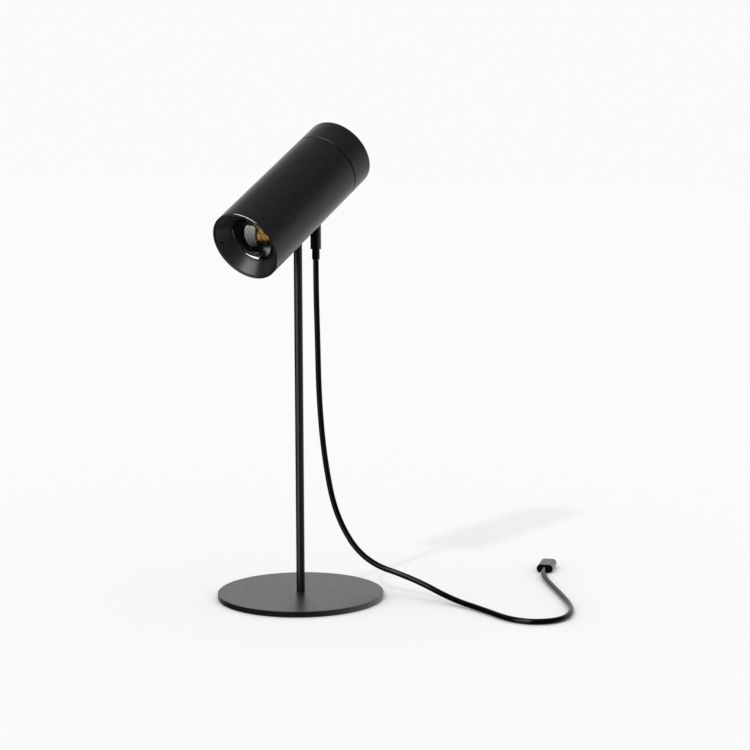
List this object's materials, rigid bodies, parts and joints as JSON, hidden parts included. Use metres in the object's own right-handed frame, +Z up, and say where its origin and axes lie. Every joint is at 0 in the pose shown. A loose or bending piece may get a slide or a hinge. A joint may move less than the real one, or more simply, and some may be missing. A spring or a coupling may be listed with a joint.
{
  "type": "tabletop searchlight lamp",
  "caption": "Drum-shaped LED searchlight head that tilts on a thin stem over a round base, with a dimmer cap at its back and a loose USB cord.",
  "frame": {"origin": "centre of the foot, on the table face of the pad", "axes": "+Z up along the stem, -Y the way the head points, +X to the head's left as seen from the front"},
  "size_m": [0.253, 0.2643, 0.3412],
  "materials": {
    "black_coat": "fine satin black powder coat over aluminium or steel",
    "black_anodised": "satin black anodised metal",
    "raw_aluminium": "bead-blasted natural aluminium",
    "zinc_steel": "bright zinc-plated steel fasteners",
    "black_steel": "black oxide steel screws",
    "nickel": "bright nickel plating",
    "brass": "machined brass",
    "black_plastic": "matt black moulded plastic",
    "natural_acetal": "natural white acetal",
    "black_rubber": "black elastomer",
    "cord_jacket": "satin black cable jacket",
    "clear_lens": "polished clear moulded optic",
    "black_board": "black solder mask on a metal-core board",
    "green_board": "green solder mask on a glass-fibre board",
    "dark_ceramic": "dark ceramic LED substrate",
    "amber_phosphor": "amber phosphor over the LED chips"
  },
  "bodies": {
    "base": {"base_plate": "black_coat", "base_pad": "black_rubber", "stem_screw": "zinc_steel", "stem": "black_coat", "hinge_block": "black_anodised", "stem_grub_screws": "black_steel", "friction_washers": "natural_acetal", "cable_socket": "black_anodised", "socket_nut": "brass", "strain_relief": "black_rubber", "supply_lead": "cord_jacket", "cord": "cord_jacket", "plug_overmould": "black_plastic", "plug_shell": "nickel", "plug_insert": "black_plastic"},
    "head": {"head_tube": "black_coat", "tube_grub_screws": "black_steel", "front_baffle": "black_anodised", "lens_bezel": "black_anodised", "lens": "clear_lens", "lens_seal": "black_rubber", "lens_holder": "black_plastic", "led_board": "black_board", "led_board_screws": "zinc_steel", "led_package": "dark_ceramic", "led_phosphor": "amber_phosphor", "heat_sink": "raw_aluminium", "led_lead": "cord_jacket", "hinge_yoke": "zinc_steel", "yoke_screws": "black_steel", "pivot_screw": "zinc_steel", "spring_washer": "zinc_steel", "pivot_nut": "zinc_steel", "rear_bulkhead": "raw_aluminium", "tie_rods": "brass", "tie_screws": "black_steel", "driver_board": "green_board", "driver_components": "black_plastic", "potentiometer": "nickel", "potentiometer_nut": "brass", "bearing_ring": "natural_acetal"},
    "dimmer": {"dimmer_cap": "black_coat", "dimmer_shaft": "zinc_steel", "cap_grub_screw": "black_steel"}
  },
  "joints": [
    {"name": "head_tilt", "type": "hinge", "parent": "base", "child": "head", "pos_m": [0, 0, 0.277], "axis": [1, 0, 0], "range_deg": [-29.35, 25.65]},
    {"name": "dimmer_turn", "type": "hinge", "parent": "head", "child": "dimmer", "pos_m": [0, 0.0377, 0.31197], "axis": [0, 0.8716, 0.4901], "range_deg": [0, 270]}
  ]
}
